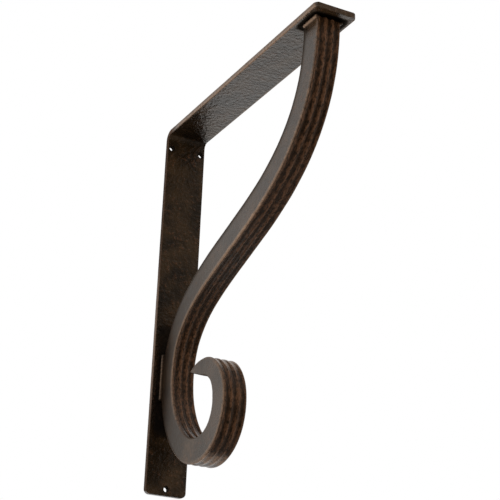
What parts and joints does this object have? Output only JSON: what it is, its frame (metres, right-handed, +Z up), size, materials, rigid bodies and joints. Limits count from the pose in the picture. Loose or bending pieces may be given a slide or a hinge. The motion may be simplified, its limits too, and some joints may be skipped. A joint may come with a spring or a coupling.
{
  "type": "scroll shelf bracket",
  "caption": "Heavy wrought-iron-style bracket: a flat strap bent square to hold a shelf or counter, braced by a fluted S-scroll bar that ends in an open curl.",
  "frame": {"origin": "on the back face of the wall leg, in the middle of its width and of its height", "axes": "+Z up along the wall leg, -Y out from the wall along the top leg, +X across the strap, to the right seen from the room"},
  "size_m": [0.0508, 0.3683, 0.4572],
  "materials": {
    "strap_coat": "black-brown oil-rubbed coat with a faint orange-peel texture, glossy at a grazing angle, rubbed through to copper brown along the edges",
    "scroll_coat": "black-brown oil-rubbed coat on a forged fluted bar, rubbed to brown on the crests of the flutes and to copper along the edges"
  },
  "bodies": {
    "root": {"mounting_strap": "strap_coat", "scroll_bar": "scroll_coat"}
  },
  "joints": []
}
